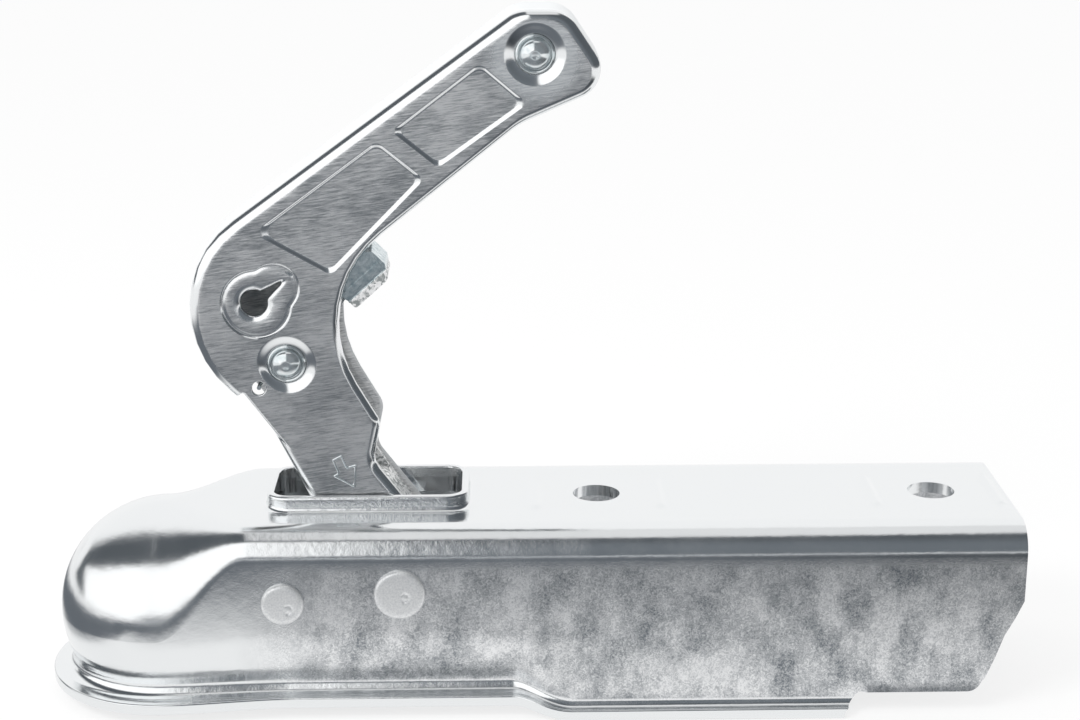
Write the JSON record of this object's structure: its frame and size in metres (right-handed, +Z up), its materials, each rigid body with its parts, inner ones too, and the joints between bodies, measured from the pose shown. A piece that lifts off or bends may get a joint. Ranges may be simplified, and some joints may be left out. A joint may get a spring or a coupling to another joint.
{
  "type": "trailer coupling head",
  "caption": "Pressed zinc-plated coupling head that closes over a tow ball, with a lever handle, squeeze catch, sprung jaw and a channel bolted over a square drawbar.",
  "frame": {"origin": "centre of the coupling ball when it is seated in the dome", "axes": "+X from the ball to the drawbar, +Z up through the roof, Y across; the handle swings about Y"},
  "size_m": [0.2563, 0.0636, 0.1822],
  "materials": {
    "housing_zinc": "bright zinc plate on pressed sheet, frosted flanks",
    "handle_zinc": "bright zinc plate with short brush marks",
    "polished_zinc": "bright blue-passivated zinc plate",
    "frosted_rivet": "matt zinc plate",
    "plain_steel": "turned steel",
    "spring_steel": "oiled spring wire",
    "cast_jaw": "zinc-plated casting"
  },
  "bodies": {
    "head": {"housing": "housing_zinc", "front_cross_rivet": "frosted_rivet", "rear_cross_rivet": "frosted_rivet", "jaw_pivot_tube": "plain_steel", "handle_pivot_tube": "plain_steel", "left_jaw_spacer": "plain_steel", "right_jaw_spacer": "plain_steel", "left_handle_spacer": "plain_steel", "right_handle_spacer": "plain_steel", "latch_cam": "plain_steel"},
    "handle": {"handle_shell": "handle_zinc", "grip_rivet": "polished_zinc", "grip_sleeve": "polished_zinc", "catch_rivet": "polished_zinc", "catch_sleeve": "polished_zinc", "catch_spring": "spring_steel"},
    "catch": {"catch_lever": "polished_zinc"},
    "jaw": {"ball_jaw": "cast_jaw", "jaw_pin": "polished_zinc"},
    "strut": {"guide_rod": "plain_steel", "rod_washer": "polished_zinc", "pressure_spring": "spring_steel", "rod_clip": "spring_steel"},
    "trunnion": {"spring_trunnion": "plain_steel"}
  },
  "joints": [
    {"name": "handle_swing", "type": "hinge", "parent": "head", "child": "handle", "pos_m": [0.0633, 0, 0.0133], "axis": [0, 1, 0], "range_deg": [0, 38]},
    {"name": "catch_squeeze", "type": "hinge", "parent": "handle", "child": "catch", "pos_m": [0.0346, 0, 0.0692], "axis": [0, -1, 0], "range_deg": [0, 4], "stiffness_Nm_per_rad": 1.5, "springref_deg": -5.73},
    {"name": "jaw_swing", "type": "hinge", "parent": "head", "child": "jaw", "pos_m": [0.0333, 0, 0.0109], "axis": [0, 1, 0], "range_deg": [0, 25.01]},
    {"name": "rod_tilt", "type": "hinge", "parent": "jaw", "child": "strut", "pos_m": [0.03884, 0, -0.00406], "axis": [0, 1, 0], "range_deg": [-25.01, 0], "deforming": ["pressure_spring"]},
    {"name": "trunnion_turn", "type": "hinge", "parent": "handle", "child": "trunnion", "pos_m": [0.07, 0, -0.002], "axis": [0, 1, 0], "range_deg": [-38.01, 0]}
  ],
  "couplings": [
    {"joint": "jaw_swing", "follows": "handle_swing", "ratio": 0.65789},
    {"joint": "rod_tilt", "follows": "handle_swing", "ratio": -0.65789},
    {"joint": "trunnion_turn", "follows": "handle_swing", "ratio": -1}
  ]
}
